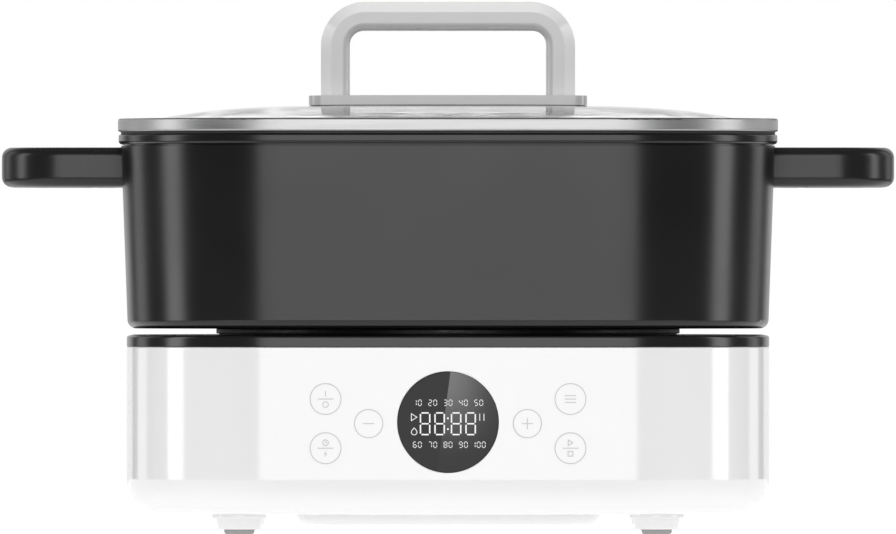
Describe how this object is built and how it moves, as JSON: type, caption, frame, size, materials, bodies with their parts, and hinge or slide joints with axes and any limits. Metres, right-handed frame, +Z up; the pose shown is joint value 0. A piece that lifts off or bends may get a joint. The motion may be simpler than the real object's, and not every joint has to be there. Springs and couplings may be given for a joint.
{
  "type": "electric hot pot",
  "caption": "Square countertop electric hot pot: a white heating base with touch display, a dark lift-off pot with side handles, and a lift-off glass lid.",
  "frame": {"origin": "on the floor below the middle of the cooker", "axes": "+X to the cooker's right seen from behind the camera, -Y towards the front with the display, +Z up"},
  "size_m": [0.4, 0.2946, 0.2386],
  "materials": {
    "clear_glass": "polished",
    "brushed_steel": "fine horizontal brushing",
    "dark_silicone": "matt",
    "handle_plastic": "gloss",
    "screw_steel": "zinc plated",
    "dark_coating": "satin non-stick coating",
    "black_plastic": "satin",
    "plain_steel": "plain",
    "cast_aluminium": "turned",
    "element_steel": "plain",
    "white_housing": "gloss",
    "black_top": "satin gloss",
    "window_black": "polished",
    "module_grey": "matt",
    "circuit_green": "solder mask",
    "lead_grey": "matt",
    "transformer_iron": "varnished",
    "relay_blue": "gloss",
    "capacitor_yellow": "gloss",
    "pin_brass": "nickel plated",
    "foot_rubber": "matt"
  },
  "bodies": {
    "base": {"base_housing": "white_housing", "base_top_plate": "black_top", "heating_plate": "cast_aluminium", "heating_plate_seal": "dark_silicone", "heating_element": "element_steel", "heat_shield": "plain_steel", "heat_shield_nuts": "screw_steel", "thermal_fuse": "element_steel", "thermal_fuse_clip": "plain_steel", "sensor_guide": "black_plastic", "sensor_spring": "plain_steel", "top_plate_screws": "screw_steel", "base_bottom_cover": "white_housing", "bottom_cover_screws": "screw_steel", "foot_screws": "screw_steel", "display_window": "window_black", "display_frame": "black_plastic", "display_module": "module_grey", "control_board": "circuit_green", "touch_springs": "plain_steel", "board_screws": "screw_steel", "display_ribbon": "lead_grey", "power_board": "circuit_green", "transformer": "transformer_iron", "relay": "relay_blue", "capacitor": "capacitor_yellow", "terminal_block": "module_grey", "power_inlet": "black_plastic", "inlet_pins": "pin_brass", "inlet_screws": "screw_steel", "mains_leads": "lead_grey", "sensor_leads": "lead_grey", "foot_front_left": "white_housing", "foot_front_right": "white_housing", "foot_rear_left": "white_housing", "foot_rear_right": "white_housing", "foot_pad_front_left": "foot_rubber", "foot_pad_front_right": "foot_rubber", "foot_pad_rear_left": "foot_rubber", "foot_pad_rear_right": "foot_rubber"},
    "pot": {"pot_body": "dark_coating", "pot_handle_left": "black_plastic", "pot_handle_right": "black_plastic", "pot_handle_bracket_left": "plain_steel", "pot_handle_bracket_right": "plain_steel", "pot_handle_screws": "screw_steel"},
    "lid": {"lid_glass": "clear_glass", "lid_rim": "brushed_steel", "lid_rim_seal": "dark_silicone", "lid_handle": "handle_plastic", "lid_handle_base": "handle_plastic", "lid_handle_gasket": "dark_silicone", "lid_handle_retainers": "handle_plastic", "lid_handle_screws": "screw_steel", "lid_vent_eyelet": "brushed_steel"},
    "sensor": {"temperature_sensor": "cast_aluminium", "sensor_thermistor": "black_plastic"}
  },
  "joints": [
    {"name": "pot_lift", "type": "slide", "parent": "base", "child": "pot", "axis": [0, 0, 1], "range_m": [0, 0.12]},
    {"name": "lid_lift", "type": "slide", "parent": "pot", "child": "lid", "axis": [0, 0, 1], "range_m": [0, 0.12]},
    {"name": "sensor_press", "type": "slide", "parent": "base", "child": "sensor", "axis": [0, 0, 1], "range_m": [-0.002, 0], "stiffness_N_per_m": 300, "springref_m": 0.003, "deforming": ["sensor_spring", "sensor_leads"]}
  ]
}
